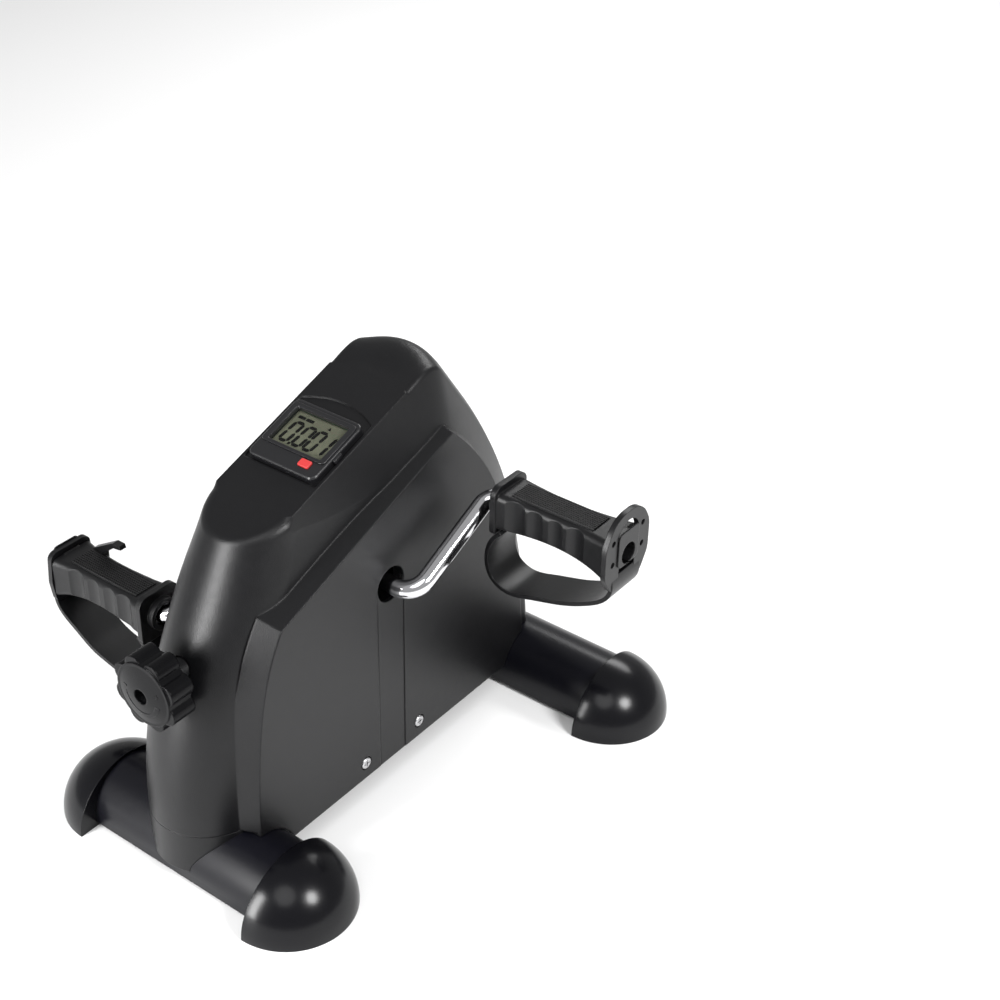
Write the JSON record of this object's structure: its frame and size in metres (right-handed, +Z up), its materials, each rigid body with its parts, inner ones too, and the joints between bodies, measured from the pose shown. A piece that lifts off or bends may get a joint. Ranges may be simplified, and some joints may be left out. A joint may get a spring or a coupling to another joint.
{
  "type": "pedal exerciser",
  "caption": "Under-desk pedal exerciser: arched housing on two capped floor bars, cranked rod with strapped pedals, brake knob on the nose and a small display on top.",
  "frame": {"origin": "on the floor, midway between the two floor bars and between the two pedals", "axes": "+Z up; the rider sits on the -Y side, where the knob is; +X is the rider's right"},
  "size_m": [0.3769, 0.4, 0.3141],
  "materials": {
    "housing_plastic": "satin, finely grained",
    "bib_plastic": "satin",
    "cap_plastic": "gloss",
    "bar_paint": "semi-gloss black",
    "frame_paint": "satin black",
    "chrome": "polished",
    "steel": "plated",
    "bush_bronze": "sintered",
    "drum_iron": "turned",
    "magnet": "plated",
    "pedal_plastic": "satin",
    "tread_rubber": "matt",
    "strap_rubber": "satin",
    "knob_plastic": "grained face, glossy lobes",
    "guide_plastic": "matt",
    "felt": "felt",
    "monitor_plastic": "semi-gloss",
    "lcd_glass": "clear",
    "lcd_green": "olive grey",
    "board_green": "lacquered",
    "cell_steel": "plated",
    "button_red": "satin",
    "cable_jacket": "matt"
  },
  "bodies": {
    "frame": {"front_bar": "bar_paint", "rear_bar": "bar_paint", "front_cap_right": "cap_plastic", "front_cap_left": "cap_plastic", "rear_cap_right": "cap_plastic", "rear_cap_left": "cap_plastic", "frame_spine": "frame_paint", "bearing_bracket_right": "frame_paint", "bearing_bracket_left": "frame_paint", "axle_bushes": "bush_bronze", "bracket_bolts": "steel", "housing_shell": "housing_plastic", "slot_cover_right": "housing_plastic", "slot_cover_left": "housing_plastic", "front_bib": "bib_plastic", "housing_screws": "steel", "brake_guide": "guide_plastic", "knob_bush": "housing_plastic", "reed_sensor": "guide_plastic", "sensor_cable": "cable_jacket", "cable_plug": "guide_plastic"},
    "crank": {"crank_rod": "chrome", "friction_drum": "drum_iron", "drum_hub": "steel", "hub_pin": "steel", "drum_magnet": "magnet", "axle_collars": "steel", "spindle_nut_right": "steel", "spindle_nut_left": "steel", "spindle_washer_right": "steel", "spindle_washer_left": "steel"},
    "right_pedal": {"pedal_body_right": "pedal_plastic", "pedal_tread_right": "tread_rubber", "pedal_strap_right": "strap_rubber"},
    "left_pedal": {"pedal_body_left": "pedal_plastic", "pedal_tread_left": "tread_rubber", "pedal_strap_left": "strap_rubber"},
    "tension_knob": {"knob": "knob_plastic", "tension_screw": "steel"},
    "brake_shoe": {"shoe_carrier": "guide_plastic", "brake_pad": "felt"},
    "monitor": {"monitor_case": "monitor_plastic", "lcd_window": "lcd_glass", "lcd_panel": "lcd_green", "circuit_board": "board_green", "battery": "cell_steel", "battery_door": "monitor_plastic"},
    "button": {"reset_button": "button_red"}
  },
  "joints": [
    {"name": "crank_spin", "type": "hinge", "parent": "frame", "child": "crank", "pos_m": [0, -0.01425, 0.176], "axis": [1, 0, 0], "continuous": true},
    {"name": "right_pedal_spin", "type": "hinge", "parent": "crank", "child": "right_pedal", "pos_m": [0.13, 0.07004, 0.21693], "axis": [1, 0, 0], "continuous": true},
    {"name": "left_pedal_spin", "type": "hinge", "parent": "crank", "child": "left_pedal", "pos_m": [-0.13, -0.09854, 0.13507], "axis": [1, 0, 0], "continuous": true},
    {"name": "knob_turn", "type": "hinge", "parent": "frame", "child": "tension_knob", "pos_m": [0, -0.18, 0.166], "axis": [0, 1, 0], "range_deg": [0, 1800]},
    {"name": "shoe_slide", "type": "slide", "parent": "frame", "child": "brake_shoe", "axis": [0, 1, 0], "range_m": [0, 0.01]},
    {"name": "monitor_lift", "type": "slide", "parent": "frame", "child": "monitor", "axis": [0, -0.3355, 0.9421], "range_m": [0, 0.03]},
    {"name": "button_press", "type": "slide", "parent": "monitor", "child": "button", "axis": [0, 0.3355, -0.9421], "range_m": [0, 0.001], "stiffness_N_per_m": 400}
  ],
  "couplings": [
    {"joint": "shoe_slide", "follows": "knob_turn", "m_per_rad": 0.000318}
  ]
}
